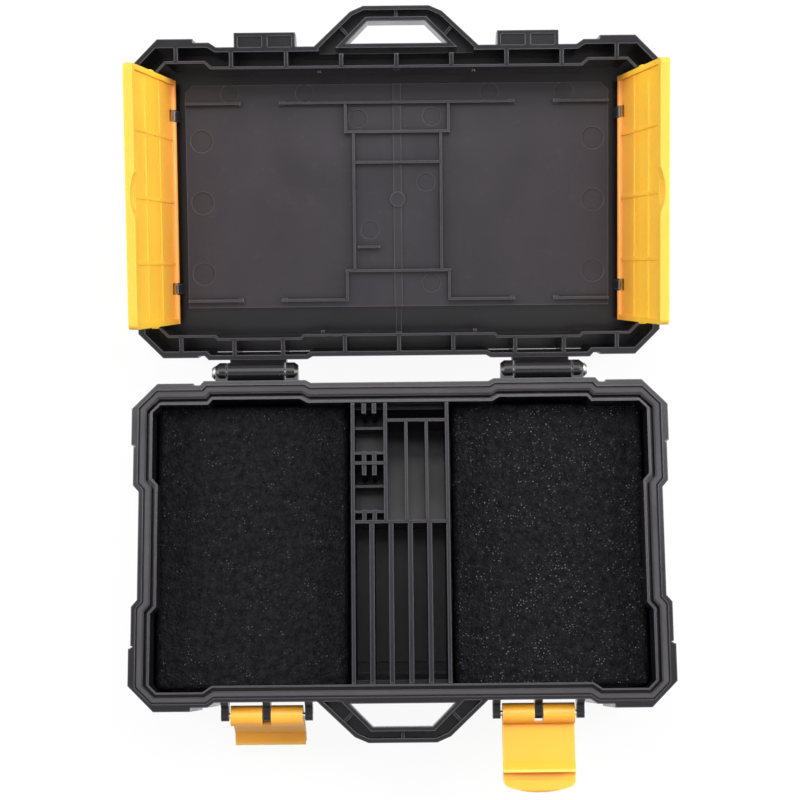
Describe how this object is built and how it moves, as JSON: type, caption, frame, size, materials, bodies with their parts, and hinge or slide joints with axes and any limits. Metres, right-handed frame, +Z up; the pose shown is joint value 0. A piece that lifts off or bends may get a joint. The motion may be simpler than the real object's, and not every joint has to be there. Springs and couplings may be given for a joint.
{
  "type": "memory card case",
  "caption": "Hinged clamshell case for memory cards with foam pads, a slotted card rack, flip-up lid doors and front toggle latches.",
  "frame": {"origin": "middle of the base's flat underside", "axes": "+X to the right, +Y from the front latches to the rear hinges, +Z up"},
  "size_m": [0.1126, 0.1662, 0.0541],
  "materials": {
    "shell_plastic": "fine satin grain",
    "rack_plastic": "satin",
    "seal_rubber": "matte",
    "foam": "open cell foam",
    "pin_steel": "brushed",
    "latch_plastic": "semi-gloss",
    "door_plastic": "semi-gloss, slightly translucent"
  },
  "bodies": {
    "base": {"base_shell": "shell_plastic", "rim_seal": "seal_rubber", "card_rack": "rack_plastic", "foam_left": "foam", "foam_right": "foam", "hinge_pin_left": "pin_steel", "hinge_pin_right": "pin_steel", "latch_pin_left": "pin_steel", "latch_pin_right": "pin_steel"},
    "lid": {"lid_shell": "shell_plastic", "lid_tray": "rack_plastic"},
    "door_left": {"door_left": "door_plastic"},
    "door_right": {"door_right": "door_plastic"},
    "latch_left": {"latch_left": "latch_plastic"},
    "latch_right": {"latch_right": "latch_plastic"}
  },
  "joints": [
    {"name": "lid_hinge", "type": "hinge", "parent": "base", "child": "lid", "pos_m": [0, 0.037, 0.0195], "axis": [1, 0, 0], "range_deg": [0, 166]},
    {"name": "door_left_hinge", "type": "hinge", "parent": "lid", "child": "door_left", "pos_m": [-0.0493, 0.07606, 0.0146], "axis": [0, 0.9703, 0.2419], "range_deg": [0, 97]},
    {"name": "door_right_hinge", "type": "hinge", "parent": "lid", "child": "door_right", "pos_m": [0.0493, 0.07606, 0.0146], "axis": [0, -0.9703, -0.2419], "range_deg": [0, 97]},
    {"name": "latch_left_hinge", "type": "hinge", "parent": "base", "child": "latch_left", "pos_m": [-0.02805, -0.035, 0.0188], "axis": [-1, 0, 0], "range_deg": [-16, 154]},
    {"name": "latch_right_hinge", "type": "hinge", "parent": "base", "child": "latch_right", "pos_m": [0.02805, -0.035, 0.0188], "axis": [-1, 0, 0], "range_deg": [-80, 90]}
  ],
  "couplings": [
    {"joint": "door_left_hinge", "follows": "lid_hinge", "ratio": 0.584},
    {"joint": "door_right_hinge", "follows": "lid_hinge", "ratio": 0.584}
  ]
}
